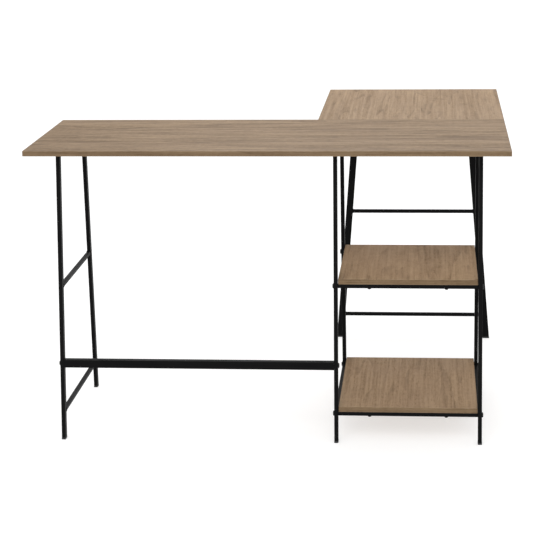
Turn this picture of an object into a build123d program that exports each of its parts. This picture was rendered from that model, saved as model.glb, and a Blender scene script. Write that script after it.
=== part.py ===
from build123d import *

import math
import os

# A corner desk: a long main top with a return top butted to its back edge at the
# right-hand end, carried by four welded end frames of flat steel tube. Two of the
# frames are the sides of an open shelf unit, and a stretcher ties the left frame to it.
#
# Millimetres, +Z up. +X runs along the main top and +Y from its outer edge towards the
# return. The origin is on the floor, under the middle of the rectangle that the desk
# stands in.

# ---------------------------------------------------------------- boards
main_length = 1200.0
main_depth = 500.0
return_width = 500.0
return_length = 590.0
desk_height = 750.0
board_thickness = 13.0
edge_band_thickness = 1.0
seam_gap = 0.4

# ---------------------------------------------------------------- steel tube
leg_width = 20.0
leg_thickness = 10.0
leg_wall = 1.2
bar_size = 10.0
bar_wall = 1.0
stretcher_size = 20.0
stretcher_wall = 1.2
tube_corner_radius = 1.5

# ---------------------------------------------------------------- end frames
leg_inset_top = 86.0
leg_inset_foot = 29.0
end_frame_inset = 72.0
shelf_frame_spacing = 360.0
return_frame_inset = 90.0
upper_crossbar_height = 393.0
lower_crossbar_height = 73.0
stretcher_height = 196.0

# ---------------------------------------------------------------- shelves
upper_rail_height = 398.0
lower_rail_height = 74.0
shelf_side_clearance = 1.0
shelf_screw_inset = 79.0

# ---------------------------------------------------------------- feet and plugs
foot_height = 5.0
foot_lip = 0.4
foot_plug_length = 14.0
plug_flange = 1.5
plug_length = 12.0
plug_clearance = 0.1

# ---------------------------------------------------------------- bolts into the tube ends
bolt_diameter = 6.0
bolt_head_diameter = 13.0
bolt_head_height = 3.4
bolt_socket_width = 4.0
bolt_socket_depth = 1.8
bolt_hole_clearance = 0.5
thread_clearance = 0.2
insert_length = 16.0
bolt_thread_length = 14.0

# ---------------------------------------------------------------- wood screws and seam plates
screw_diameter = 4.0
screw_head_diameter = 9.0
screw_head_height = 3.0
screw_bite = 9.0
screw_hole_clearance = 0.4
pilot_extra_depth = 1.5
cross_slot_length = 4.6
cross_slot_width = 0.9
cross_slot_depth = 1.4
top_screw_spacing = 140.0
seam_plate_width = 40.0
seam_plate_length = 120.0
seam_plate_thickness = 2.0
seam_plate_inset = 60.0
seam_plate_corner_radius = 6.0
seam_screw_near = 20.0
seam_screw_far = 45.0

# ---------------------------------------------------------------- places worked out from the sizes
overshoot = 5.0
overall_depth = main_depth + return_length
left_end = -main_length / 2
right_end = main_length / 2
outer_edge = -overall_depth / 2
seam_line = outer_edge + main_depth
far_edge = overall_depth / 2
main_middle_y = outer_edge + main_depth / 2
return_middle_x = right_end - return_width / 2
board_underside = desk_height - board_thickness
leg_top = board_underside - leg_thickness

left_frame_x = left_end + end_frame_inset
shelf_right_frame_x = right_end - end_frame_inset
shelf_left_frame_x = shelf_right_frame_x - shelf_frame_spacing
shelf_middle_x = (shelf_left_frame_x + shelf_right_frame_x) / 2
return_frame_y = far_edge - return_frame_inset

shelf_gap = shelf_frame_spacing - leg_thickness
shelf_width = shelf_gap - 2 * shelf_side_clearance
top_screw_places = (-top_screw_spacing, 0.0, top_screw_spacing)


# ---------------------------------------------------------------- the leaning line of a leg
def leg_offset(depth, height):
    """Distance from the middle of a frame of this depth out to a leg's centre line."""
    foot = depth / 2 - leg_inset_foot
    top = depth / 2 - leg_inset_top
    return foot + (top - foot) * height / leg_top


def leg_lean():
    """Angle, in degrees, between a leg and the vertical."""
    return math.degrees(math.atan((leg_inset_top - leg_inset_foot) / leg_top))


def level_width(width):
    """Width that a leaning piece of this true width has where it is cut level."""
    return width / math.cos(math.radians(leg_lean()))


# ---------------------------------------------------------------- shapes that several pieces share
def bar_along_x(length, width, height, radius):
    """Solid bar of rounded section along X, centred on the origin."""
    section = Plane.YZ * RectangleRounded(width, height, radius)
    return extrude(section, amount=length / 2, both=True)


def tube_along_x(length, width, height, wall):
    """Rectangular tube along X, open at both ends, centred on the origin."""
    outer = bar_along_x(length, width, height, tube_corner_radius)
    bore_radius = max(tube_corner_radius - wall, tube_corner_radius / 4)
    bore = bar_along_x(length + overshoot, width - 2 * wall, height - 2 * wall, bore_radius)
    return outer - bore


def leaning_bar(depth, side, low, high, width, thickness, radius):
    """Solid bar on a leg's centre line, cut level at two heights, in a frame's own XZ plane."""
    reach = (high - low) / 2 + width
    middle = (low + high) / 2
    section = RectangleRounded(width, thickness, radius)
    bar = extrude(section, amount=reach / math.cos(math.radians(leg_lean())), both=True)
    bar = Pos(side * leg_offset(depth, middle), 0, middle) * Rotation(0, -side * leg_lean(), 0) * bar
    slab = Pos(side * leg_offset(depth, middle), 0, middle) * Box(depth, 4 * thickness, high - low)
    return bar & slab


def round_head(diameter, height):
    """Low domed head seated on z = 0."""
    head = Cylinder(diameter / 2, height, align=(Align.CENTER, Align.CENTER, Align.MIN))
    return fillet(head.edges().sort_by(Axis.Z)[-1], height * 0.8)


def button_bolt(grip):
    """Socket bolt, head up, seated on z = 0, reaching through the grip and into a thread."""
    length = grip + bolt_thread_length
    head = round_head(bolt_head_diameter, bolt_head_height)
    socket = extrude(RegularPolygon(bolt_socket_width / 2, 6, major_radius=False), bolt_socket_depth)
    shank = Cylinder(bolt_diameter / 2, length, align=(Align.CENTER, Align.CENTER, Align.MAX))
    shank = chamfer(shank.edges().sort_by(Axis.Z)[0], bolt_diameter / 8)
    return head - Pos(0, 0, bolt_head_height - bolt_socket_depth) * socket + shank


def wood_screw(grip):
    """Pan-head screw, head down, seated under z = 0, reaching up through the grip into a board."""
    length = grip + screw_bite
    point = screw_diameter
    head = round_head(screw_head_diameter, screw_head_height)
    slot = Box(cross_slot_length, cross_slot_width, cross_slot_depth)
    cross = slot + Rotation(0, 0, 90) * slot
    head = head - Pos(0, 0, screw_head_height - cross_slot_depth / 2) * cross
    shank = Cylinder(screw_diameter / 2, length - point, align=(Align.CENTER, Align.CENTER, Align.MIN))
    tip = Pos(0, 0, length - point) * Cone(
        screw_diameter / 2, screw_diameter / 8, point, align=(Align.CENTER, Align.CENTER, Align.MIN)
    )
    return Rotation(180, 0, 0) * head + shank + tip


def group(pieces):
    """Separate solids kept together in one node."""
    return Compound(children=list(pieces))


# ---------------------------------------------------------------- boards
def board(width, depth, screw_points):
    """Board without its edge bands, lying on z = 0, with a pilot hole for each screw."""
    core_size = (width - 2 * edge_band_thickness, depth - 2 * edge_band_thickness)
    core = Box(*core_size, board_thickness, align=(Align.CENTER, Align.CENTER, Align.MIN))
    hole_depth = screw_bite + pilot_extra_depth
    for x, y in screw_points:
        core -= Pos(x, y, hole_depth / 2) * Cylinder((screw_diameter + thread_clearance) / 2, hole_depth)
    return core


def edge_bands(width, depth):
    """The four strips round a board: two the full width, two between them."""
    lie = (Align.CENTER, Align.CENTER, Align.MIN)
    across = Box(width, edge_band_thickness, board_thickness, align=lie)
    along = Box(edge_band_thickness, depth - 2 * edge_band_thickness, board_thickness, align=lie)
    y = (depth - edge_band_thickness) / 2
    x = (width - edge_band_thickness) / 2
    return group([Pos(0, -y, 0) * across, Pos(0, y, 0) * across, Pos(-x, 0, 0) * along, Pos(x, 0, 0) * along])


def seam_plate_xs():
    """Middles of the plates that join the two tops."""
    reach = return_width / 2 - seam_plate_inset
    return [return_middle_x + share * reach for share in (-1, 0, 1)]


def seam_screw_ys():
    """Places of one plate's screws, measured from the seam."""
    return (-seam_screw_far, -seam_screw_near, seam_screw_near, seam_screw_far)


def main_top_screw_points():
    """Screws into the main top: three from each frame under it, and the seam plates' near pairs."""
    frames = (left_frame_x, shelf_left_frame_x, shelf_right_frame_x)
    points = [(x, main_middle_y + y) for x in frames for y in top_screw_places]
    points += [(x, seam_line + y) for x in seam_plate_xs() for y in seam_screw_ys() if y < 0]
    return points


def return_top_screw_points():
    """Screws into the return top: three from its frame, and the seam plates' far pairs."""
    points = [(return_middle_x + x, return_frame_y) for x in top_screw_places]
    points += [(x, seam_line + y) for x in seam_plate_xs() for y in seam_screw_ys() if y > 0]
    return points


def placed_board(nodes, name, middle, size, underside, screw_points):
    """Adds a board and its edge bands at their place in the desk."""
    place = Pos(middle[0], middle[1], underside)
    local_points = [(x - middle[0], y - middle[1]) for x, y in screw_points]
    nodes[name] = place * board(*size, local_points)
    nodes[name + "_edge_bands"] = place * edge_bands(*size)


def add_tops(nodes):
    """The main top and the return top."""
    placed_board(
        nodes, "main_top", (0, main_middle_y), (main_length, main_depth), board_underside,
        main_top_screw_points(),
    )
    length = return_length - seam_gap
    placed_board(
        nodes, "return_top", (return_middle_x, far_edge - length / 2), (return_width, length),
        board_underside, return_top_screw_points(),
    )


# ---------------------------------------------------------------- end frames
def leg(depth, side, bolt_heights):
    """One leg in its frame's own XZ plane, with a hole through it for each bolt."""
    low, high = foot_height, leg_top
    outer = leaning_bar(depth, side, low, high, leg_width, leg_thickness, tube_corner_radius)
    bore = leaning_bar(
        depth, side, low - overshoot, high + overshoot,
        leg_width - 2 * leg_wall, leg_thickness - 2 * leg_wall, tube_corner_radius - leg_wall,
    )
    tube = outer - bore
    for height in bolt_heights:
        hole = Rotation(90, 0, 0) * Cylinder((bolt_diameter + bolt_hole_clearance) / 2, 2 * leg_thickness)
        tube -= Pos(side * leg_offset(depth, height), 0, height) * hole
    return tube


def foot(depth, side):
    """Plastic foot: a lip under the leg and a plug up inside it, in the frame's own XZ plane."""
    lip = leaning_bar(
        depth, side, 0, foot_height, leg_width + 2 * foot_lip, leg_thickness + 2 * foot_lip,
        tube_corner_radius + foot_lip,
    )
    play = leg_wall + plug_clearance
    plug = leaning_bar(
        depth, side, foot_height, foot_height + foot_plug_length,
        leg_width - 2 * play, leg_thickness - 2 * play, tube_corner_radius / 2,
    )
    return lip + plug


def crossbar(depth, height):
    """Square tube between the two legs, its ends cut to their slope."""
    tube = Pos(0, 0, height) * tube_along_x(depth, bar_size, bar_size, bar_wall)
    inner = level_width(leg_width) / 2
    at_floor = leg_offset(depth, 0) - inner
    at_top = leg_offset(depth, leg_top) - inner
    outline = Polyline((-at_floor, 0), (at_floor, 0), (at_top, leg_top), (-at_top, leg_top), close=True)
    between = extrude(Plane.XZ * make_face(outline), amount=2 * bar_size, both=True)
    return tube & between


def top_bar_length(depth):
    """Length of a frame's top bar, out to the outer faces of its legs."""
    return 2 * leg_offset(depth, leg_top) + level_width(leg_width)


def top_bar(depth):
    """Flat tube that closes the tops of the legs and carries the board, with its screw holes."""
    tube = tube_along_x(top_bar_length(depth), leg_width, leg_thickness, leg_wall)
    for x in top_screw_places:
        tube -= Pos(x, 0, 0) * Cylinder((screw_diameter + screw_hole_clearance) / 2, 2 * leg_thickness)
    return Pos(0, 0, leg_top + leg_thickness / 2) * tube


def top_bar_plugs(depth):
    """Plastic plugs in the two open ends of a top bar."""
    play = leg_wall + plug_clearance
    flange = bar_along_x(plug_flange, leg_width, leg_thickness, tube_corner_radius)
    stub = bar_along_x(plug_length, leg_width - 2 * play, leg_thickness - 2 * play, tube_corner_radius / 2)
    plug = Pos(plug_flange / 2, 0, 0) * flange + Pos(-plug_length / 2, 0, 0) * stub
    right = Pos(top_bar_length(depth) / 2, 0, leg_top + leg_thickness / 2) * plug
    return [right, Rotation(0, 0, 180) * right]


def add_frame(nodes, name, place, depth, crossbars, outer_bolts, inner_bolts):
    """Adds one end frame, its outer leg on its own -X side and its inner leg on +X."""
    ends = (("outer", -1, outer_bolts), ("inner", 1, inner_bolts))
    for end, side, bolt_heights in ends:
        nodes[f"{name}_{end}_leg"] = place * leg(depth, side, bolt_heights)
        nodes[f"{name}_{end}_foot"] = place * foot(depth, side)
    for level, height in crossbars:
        nodes[f"{name}_{level}_crossbar"] = place * crossbar(depth, height)
    nodes[f"{name}_top_bar"] = place * top_bar(depth)
    screws = [Pos(x, 0, leg_top) * wood_screw(leg_thickness) for x in top_screw_places]
    nodes[f"{name}_top_screws"] = place * group(screws)


def side_place(x):
    """Place of a frame that stands across the main top at x, its outer leg under the outer edge."""
    return Pos(x, main_middle_y, 0) * Rotation(0, 0, 90)


def return_place():
    """Place of the frame under the far end of the return top, its outer leg at the right."""
    return Pos(return_middle_x, return_frame_y, 0) * Rotation(0, 0, 180)


def add_frames(nodes):
    """The four end frames, with the holes that the stretcher and the rails need."""
    both = (("upper", upper_crossbar_height), ("lower", lower_crossbar_height))
    low_only = both[1:]
    rails = (upper_rail_height, lower_rail_height)
    add_frame(nodes, "left_frame", side_place(left_frame_x), main_depth, both, (stretcher_height,), ())
    add_frame(
        nodes, "shelf_left_frame", side_place(shelf_left_frame_x), main_depth, low_only,
        rails + (stretcher_height,), rails,
    )
    add_frame(nodes, "shelf_right_frame", side_place(shelf_right_frame_x), main_depth, low_only, rails, rails)
    add_frame(nodes, "return_frame", return_place(), return_width, both, (), ())
    side_plugs = [
        side_place(x) * plug
        for x in (left_frame_x, shelf_left_frame_x, shelf_right_frame_x)
        for plug in top_bar_plugs(main_depth)
    ]
    nodes["top_bar_end_plugs"] = group(side_plugs + [return_place() * p for p in top_bar_plugs(return_width)])


# ---------------------------------------------------------------- bars bolted between two frames
def tube_insert(size, wall):
    """Threaded plug inside the -X end of a square tube whose end face is at x = 0."""
    width = size - 2 * wall - 2 * plug_clearance
    block = bar_along_x(insert_length, width, width, tube_corner_radius / 2)
    thread = Rotation(0, 90, 0) * Cylinder((bolt_diameter + thread_clearance) / 2, insert_length + overshoot)
    return Pos(insert_length / 2, 0, 0) * (block - thread)


def bolted_ends(start, end, y, height, size, wall):
    """Inserts and bolts for a tube that runs between two legs, from start to end along X."""
    insert = tube_insert(size, wall)
    inserts = [Pos(start, y, height) * insert, Pos(end, y, height) * Rotation(0, 0, 180) * insert]
    bolt = button_bolt(leg_thickness)
    bolts = [
        Pos(start - leg_thickness, y, height) * Rotation(0, -90, 0) * bolt,
        Pos(end + leg_thickness, y, height) * Rotation(0, 90, 0) * bolt,
    ]
    return inserts, bolts


def add_stretcher(nodes):
    """Square tube from the left frame to the shelf unit, low on the outer side."""
    start = left_frame_x + leg_thickness / 2
    end = shelf_left_frame_x - leg_thickness / 2
    y = main_middle_y - leg_offset(main_depth, stretcher_height)
    tube = tube_along_x(end - start, stretcher_size, stretcher_size, stretcher_wall)
    nodes["stretcher"] = Pos((start + end) / 2, y, stretcher_height) * tube
    inserts, bolts = bolted_ends(start, end, y, stretcher_height, stretcher_size, stretcher_wall)
    nodes["stretcher_threaded_inserts"] = group(inserts)
    nodes["stretcher_bolts"] = group(bolts)


def shelf_rail():
    """Square tube under a shelf, with its two screw holes, centred on the origin."""
    tube = tube_along_x(shelf_gap, bar_size, bar_size, bar_wall)
    for x in shelf_screw_xs():
        tube -= Pos(x, 0, 0) * Cylinder((screw_diameter + screw_hole_clearance) / 2, 2 * bar_size)
    return tube


def shelf_screw_xs():
    """Places of a rail's screws, measured from the middle of the shelf unit."""
    reach = shelf_gap / 2 - shelf_screw_inset
    return (-reach, reach)


def add_shelf(nodes, name, rail_height):
    """One shelf with its two rails, and the bolts and screws that hold them."""
    reach = leg_offset(main_depth, rail_height)
    start = shelf_left_frame_x + leg_thickness / 2
    end = shelf_right_frame_x - leg_thickness / 2
    inserts, bolts, screws, screw_points = [], [], [], []
    for side, y in (("outer", main_middle_y - reach), ("inner", main_middle_y + reach)):
        nodes[f"{name}_{side}_rail"] = Pos(shelf_middle_x, y, rail_height) * shelf_rail()
        rail_inserts, rail_bolts = bolted_ends(start, end, y, rail_height, bar_size, bar_wall)
        inserts += rail_inserts
        bolts += rail_bolts
        for x in shelf_screw_xs():
            screw_points.append((shelf_middle_x + x, y))
            under_rail = Pos(shelf_middle_x + x, y, rail_height - bar_size / 2)
            screws.append(under_rail * wood_screw(bar_size))
    nodes[f"{name}_rail_inserts"] = group(inserts)
    nodes[f"{name}_rail_bolts"] = group(bolts)
    nodes[f"{name}_screws"] = group(screws)
    placed_board(
        nodes, name, (shelf_middle_x, main_middle_y), (shelf_width, 2 * reach + bar_size),
        rail_height + bar_size / 2, screw_points,
    )


# ---------------------------------------------------------------- plates across the seam of the tops
def seam_plate():
    """Flat steel plate with its four screw holes, its top face on z = 0."""
    outline = RectangleRounded(seam_plate_width, seam_plate_length, seam_plate_corner_radius)
    plate = extrude(outline, -seam_plate_thickness)
    for y in seam_screw_ys():
        hole = Cylinder((screw_diameter + screw_hole_clearance) / 2, 4 * seam_plate_thickness)
        plate -= Pos(0, y, 0) * hole
    return plate


def add_seam_plates(nodes):
    """Three plates that hold the return top to the main top from below."""
    screws = []
    for end, x in zip(("inner", "middle", "outer"), seam_plate_xs()):
        nodes[f"seam_plate_{end}"] = Pos(x, seam_line, board_underside) * seam_plate()
        for y in seam_screw_ys():
            under_plate = Pos(x, seam_line + y, board_underside - seam_plate_thickness)
            screws.append(under_plate * wood_screw(seam_plate_thickness))
    nodes["seam_plate_screws"] = group(screws)


def main():
    nodes = {}
    add_tops(nodes)
    add_frames(nodes)
    add_stretcher(nodes)
    add_shelf(nodes, "upper_shelf", upper_rail_height)
    add_shelf(nodes, "lower_shelf", lower_rail_height)
    add_seam_plates(nodes)
    os.makedirs("parts", exist_ok=True)
    for name, shape in nodes.items():
        export_step(shape, f"parts/{name}.step")


main()
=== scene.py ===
"""A corner desk: oak-print boards on welded black steel frames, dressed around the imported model.

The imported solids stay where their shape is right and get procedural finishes. The edge bands, the
moulded feet and plugs, the socket bolts and the weld beads are surfaces worked out here on grids
of two parameters. Everything is in metres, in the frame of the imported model: +X along the main
top, +Y from its outer edge towards the return, +Z up.
"""

from __future__ import annotations

import logging
import math
from dataclasses import dataclass, field
from enum import Enum

import bpy
import numpy as np
from mathutils import Matrix, Vector


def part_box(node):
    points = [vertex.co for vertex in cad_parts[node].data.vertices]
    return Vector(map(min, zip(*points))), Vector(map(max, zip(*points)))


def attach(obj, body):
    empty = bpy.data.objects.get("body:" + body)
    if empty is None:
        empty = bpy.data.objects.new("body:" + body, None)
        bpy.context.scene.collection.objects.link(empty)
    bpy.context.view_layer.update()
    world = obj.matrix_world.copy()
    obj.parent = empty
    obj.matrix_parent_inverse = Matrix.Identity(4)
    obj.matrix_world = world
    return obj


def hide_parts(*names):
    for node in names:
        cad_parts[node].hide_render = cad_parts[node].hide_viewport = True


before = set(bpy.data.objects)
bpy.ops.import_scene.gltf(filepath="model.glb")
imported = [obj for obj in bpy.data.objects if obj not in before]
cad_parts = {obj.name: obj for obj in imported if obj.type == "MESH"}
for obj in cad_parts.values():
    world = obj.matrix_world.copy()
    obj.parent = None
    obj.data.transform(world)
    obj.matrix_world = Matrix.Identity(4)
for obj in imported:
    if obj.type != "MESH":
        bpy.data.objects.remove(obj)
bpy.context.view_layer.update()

BODY = "root"
MM = 0.001

log = logging.getLogger("corner_desk")

Socket = bpy.types.NodeSocket
Colour = tuple[float, float, float, float]
Triple = tuple[float, float, float]
Span = tuple[float, ...]


class Grain(Enum):
    """Which way the oak print runs over a board: the turn, in radians, that lays it along X."""

    ALONG_MAIN_TOP = 0.0
    ALONG_RETURN = math.pi / 2


class Slot(Enum):
    """Material slot names that the new pieces carry; a piece's finish is the material passed to its
    build.
    """

    EDGE_BAND = "edge_band"
    STEEL_TUBE = "powder_coated_steel"
    PLASTIC = "black_plastic"
    FASTENER = "blackened_steel"


# ---------------------------------------------------------------- node trees
@dataclass(frozen=True)
class Layer:
    """A noise stretched along a grain, and what it does to the tone of a print.

    along and across are its lumps to a metre. The tone changes by share times the noise's distance
    from middle.
    """

    along: float
    across: float
    detail: float
    roughness: float
    swirl: float = 0.0
    share: float = 0.0
    middle: float = 0.5


class Nodes:
    """A node tree that is emptied and then filled anew."""

    def __init__(self, tree: bpy.types.NodeTree) -> None:
        """Empties the tree."""
        self.tree = tree
        tree.nodes.clear()

    def node(self, kind: str, inputs: dict | None = None, **settings: object) -> bpy.types.Node:
        """Adds a node.

        Args:
            kind: the node's type name.
            inputs: what goes into its sockets, by name or number: a socket to link, or a constant.
            settings: the node's own properties.

        Returns:
            The new node.
        """
        made = self.tree.nodes.new(kind)
        for key, value in settings.items():
            setattr(made, key, value)
        for key, value in (inputs or {}).items():
            self.feed(made.inputs[key], value)
        return made

    def feed(self, socket: Socket, value: object) -> None:
        """Links a socket to another, or sets its constant.

        Args:
            socket: the input socket.
            value: an output socket, or the constant.
        """
        if isinstance(value, Socket):
            self.tree.links.new(value, socket)
        else:
            socket.default_value = value


class Recipe(Nodes):
    """A material's node tree while it is being put together.

    The mix numbers are the Mix node's sockets for a factor, two colours and their mix.
    """

    mix_factor, mix_first, mix_second, mix_result = 0, 6, 7, 2
    arris_samples = 6
    arris_cosines: Span = (0.99, 0.8)

    def __init__(self, name: str) -> None:
        """Starts an empty material.

        Args:
            name: the material's name.
        """
        self.material = bpy.data.materials.new(name)
        self.material.use_nodes = True
        super().__init__(self.material.node_tree)
        self.surface = self.node("ShaderNodeBsdfPrincipled")
        self.node("ShaderNodeOutputMaterial", {"Surface": self.surface.outputs["BSDF"]})

    def place(
        self, vector: Socket, scale: Triple = (1, 1, 1), turn: float = 0.0, shift: Triple = (0, 0, 0)
    ) -> Socket:
        """Stretches a vector by scale, turns it about Z by turn radians and adds shift."""
        inputs = {"Vector": vector, "Scale": scale, "Rotation": (0, 0, turn), "Location": shift}
        return self.node("ShaderNodeMapping", inputs).outputs["Vector"]

    def noise(
        self,
        vector: Socket,
        scale: float,
        detail: float = 2.0,
        roughness: float = 0.5,
        swirl: float = 0.0,
    ) -> Socket:
        """Fractal noise from 0 to 1 with scale lumps to a unit, and detail finer layers."""
        shape = {"Scale": scale, "Detail": detail, "Roughness": roughness, "Distortion": swirl}
        return self.node("ShaderNodeTexNoise", {"Vector": vector, **shape}).outputs["Fac"]

    def stretched(self, vector: Socket, layer: Layer, shift: Triple = (0, 0, 0)) -> Socket:
        """A layer's noise, on coordinates in metres whose X runs along the grain."""
        place = self.place(vector, (layer.along, layer.across, layer.across), shift=shift)
        return self.noise(place, 1.0, layer.detail, layer.roughness, layer.swirl)

    def spread(
        self, value: Socket, low: float, high: float, start: float = 0.0, end: float = 1.0
    ) -> Socket:
        """Maps low..high of a value onto start..end, clamped."""
        inputs = {"Value": value, "From Min": low, "From Max": high, "To Min": start, "To Max": end}
        return self.node("ShaderNodeMapRange", inputs).outputs["Result"]

    def maths(self, operation: str, first: object, second: object = 0.0) -> Socket:
        """One sum on two sockets or numbers; a sum on one value ignores the second."""
        return self.node("ShaderNodeMath", {0: first, 1: second}, operation=operation).outputs["Value"]

    def blend(self, share: object, first: object, second: object) -> Socket:
        """Mixes two colours; share is how much of the second there is, from 0 to 1."""
        inputs = {self.mix_factor: share, self.mix_first: first, self.mix_second: second}
        return self.node("ShaderNodeMix", inputs, data_type="RGBA").outputs[self.mix_result]

    def ramp(self, value: Socket, stops: tuple[tuple[float, Colour], ...]) -> Socket:
        """Turns a value into a colour through a row of stops.

        Args:
            value: the value's socket.
            stops: pairs of position and colour.

        Returns:
            The colour's socket.
        """
        made = self.node("ShaderNodeValToRGB", {"Fac": value})
        band = made.color_ramp
        while len(band.elements) < len(stops):
            band.elements.new(1.0)
        for element, (position, colour) in zip(band.elements, stops):
            element.position = position
            element.color = colour
        return made.outputs["Color"]

    def bump(self, height: Socket, depth: float, strength: float, under: Socket | None = None) -> Socket:
        """Normal of a surface raised by a height from 0 to 1.

        Args:
            height: the height's socket.
            depth: what a height of 1 stands for, in metres.
            strength: share of the effect.
            under: a coarser bump's normal, or None.

        Returns:
            The normal's socket.
        """
        inputs = {"Height": height, "Distance": depth, "Strength": strength}
        if under is not None:
            inputs["Normal"] = under
        return self.node("ShaderNodeBump", inputs).outputs["Normal"]

    def object_place(self) -> Socket:
        """Object coordinates, in metres."""
        return self.node("ShaderNodeTexCoord").outputs["Object"]

    def arris(self, radius: float) -> Socket:
        """Share from 0 to 1 that is high where a corner is within a radius.

        It grows as the cosine falls between the surface's normal and the normal that a rounded edge
        of that radius would have.

        Args:
            radius: how near the corner is, in metres.

        Returns:
            The share's socket.
        """
        rounded = self.node("ShaderNodeBevel", {"Radius": radius}, samples=self.arris_samples)
        normal = self.node("ShaderNodeNewGeometry").outputs["Normal"]
        normals = {0: rounded.outputs["Normal"], 1: normal}
        cosine = self.node("ShaderNodeVectorMath", normals, operation="DOT_PRODUCT")
        return self.spread(cosine.outputs["Value"], *self.arris_cosines)

    def finish(self, sockets: dict) -> bpy.types.Material:
        """Sets the shader's sockets.

        Args:
            sockets: sockets to link and constants, by name.

        Returns:
            The finished material.
        """
        for key, value in sockets.items():
            self.feed(self.surface.inputs[key], value)
        return self.material


def shade(red: float, green: float, blue: float) -> Colour:
    """Linear colour of a display colour.

    Args:
        red: the display colour's red, from 0 to 255.
        green: its green.
        blue: its blue.

    Returns:
        Linear red, green and blue, and full opacity.
    """
    display = np.array([red, green, blue]) / 255
    linear = np.where(display <= 0.04045, display / 12.92, ((display + 0.055) / 1.055) ** 2.4)
    return (*linear.tolist(), 1.0)


# ---------------------------------------------------------------- finishes
@dataclass(frozen=True)
class OakPrint:
    """Printed oak laminate: growth-ring lines, long strokes, fibres and fine open pores.

    Here and in the other finishes, a span is what Recipe.spread takes after its value.
    """

    name: str
    grain: Grain
    shift: Triple = (0.0, 0.0, 0.0)
    contrast: float = 1.0
    # lift above 1 is painted light on a board that the lamps leave darker than the main top; below 1 it
    # is painted shade
    painted_light_lift: float = 1.0
    light: Colour = shade(150, 127, 99)
    middle: Colour = shade(126, 104, 79)
    dark: Colour = shade(93, 73, 51)
    pore: Colour = shade(79, 61, 42)
    warmth: Colour = shade(133, 111, 88)
    sheen: float = 0.07
    relief: float = 0.05 * MM
    rings: float = 8.0
    contours: Layer = Layer(0.9, 12, 2, 0.45, 0.1, share=-0.17, middle=0.12)
    breaks: Layer = Layer(8, 60, 3, 0.6)
    broad: Layer = Layer(1.3, 12, 3, 0.5, 0.4, share=0.17)
    streaks: Layer = Layer(8, 58, 4, 0.6, 0.2, share=0.28)
    strokes: Layer = Layer(2.4, 150, 4, 0.62, share=0.40)
    fibres: Layer = Layer(24, 420, 3, 0.6, share=0.22)
    grit: Layer = Layer(48, 64, 3, 0.75, share=0.26)
    flecks: Layer = Layer(70, 1300, 2, 0.5)
    patches: Layer = Layer(3, 9, 2, 0.5)
    patches_shift: Triple = (3.1, 1.7, 0.4)
    tone_stops: Triple = (0.28, 0.50, 0.72)
    ring_end: Span = (0.55, 0.97)
    unbroken: Span = (0.42, 0.62, 0.15, 1.0)
    warm: Span = (0.35, 0.65, 0.0, 0.3)
    open_pore: Span = (0.56, 0.68)
    between_strokes: Span = (0.60, 0.40, 0.1, 0.7)
    rough: Span = (0.3, 0.7, 0.58, 0.50)
    pore_dullness: float = 0.2
    stroke_height: float = 0.3
    pore_height: float = -0.8
    bump_share: float = 0.5

    def material(self) -> bpy.types.Material:
        """Builds the board's material.

        Returns:
            The material.
        """
        recipe = Recipe(self.name)
        place = recipe.place(recipe.object_place(), turn=-self.grain.value, shift=self.shift)
        return self.printed(recipe, place)

    def toned(self, colour: Colour) -> Colour:
        """A colour of the print times the board's lift: painted light above 1, painted shade below 1."""
        return (*(part * self.painted_light_lift for part in colour[:3]), 1.0)

    def ring_lines(self, recipe: Recipe, place: Socket) -> Socket:
        """Share of the thin dark line that ends each growth ring, broken up along the grain.

        A ring is one step of a stretched noise, so its ends follow that noise's contours.

        Args:
            recipe: the tree to build in.
            place: the coordinates, in metres.

        Returns:
            The share's socket.
        """
        steps = recipe.maths("MULTIPLY", recipe.stretched(place, self.contours), self.rings)
        line = recipe.spread(recipe.maths("FRACT", steps), *self.ring_end)
        whole = recipe.spread(recipe.stretched(place, self.breaks), *self.unbroken)
        return recipe.maths("MULTIPLY", line, whole)

    def tone(self, recipe: Recipe, place: Socket, strokes: Socket) -> Socket:
        """How light the print is, about 0.5.

        Args:
            recipe: the tree to build in.
            place: the coordinates, in metres.
            strokes: the long strokes' noise.

        Returns:
            The tone's socket.
        """
        shown = (
            (recipe.stretched(place, self.broad), self.broad),
            (recipe.stretched(place, self.streaks), self.streaks),
            (strokes, self.strokes),
            (recipe.stretched(place, self.fibres), self.fibres),
            (recipe.stretched(place, self.grit), self.grit),
            (self.ring_lines(recipe, place), self.contours),
        )
        tone = 0.5
        for value, layer in shown:
            change = recipe.maths("SUBTRACT", value, layer.middle)
            change = recipe.maths("MULTIPLY", change, layer.share * self.contrast)
            tone = recipe.maths("ADD", tone, change)
        return tone

    def printed(self, recipe: Recipe, place: Socket) -> bpy.types.Material:
        """Lays the print out on coordinates whose X runs along the grain.

        Args:
            recipe: the tree to build in.
            place: the coordinates, in metres.

        Returns:
            The finished material.
        """
        strokes = recipe.stretched(place, self.strokes)
        colours = (self.toned(colour) for colour in (self.dark, self.middle, self.light))
        colour = recipe.ramp(self.tone(recipe, place, strokes), tuple(zip(self.tone_stops, colours)))
        patches = recipe.stretched(place, self.patches, self.patches_shift)
        colour = recipe.blend(recipe.spread(patches, *self.warm), colour, self.toned(self.warmth))
        open_pore = recipe.spread(recipe.stretched(place, self.flecks), *self.open_pore)
        pore = recipe.maths("MULTIPLY", open_pore, recipe.spread(strokes, *self.between_strokes))
        colour = recipe.blend(pore, colour, self.toned(self.pore))
        raised = recipe.maths("MULTIPLY", strokes, self.stroke_height)
        height = recipe.maths("ADD", raised, recipe.maths("MULTIPLY", pore, self.pore_height))
        dull = recipe.maths("MULTIPLY", pore, self.pore_dullness)
        return recipe.finish(
            {
                "Base Color": colour,
                "Roughness": recipe.maths("ADD", recipe.spread(strokes, *self.rough), dull),
                "Specular IOR Level": self.sheen,
                "Normal": recipe.bump(height, self.relief, self.bump_share),
            }
        )


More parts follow.
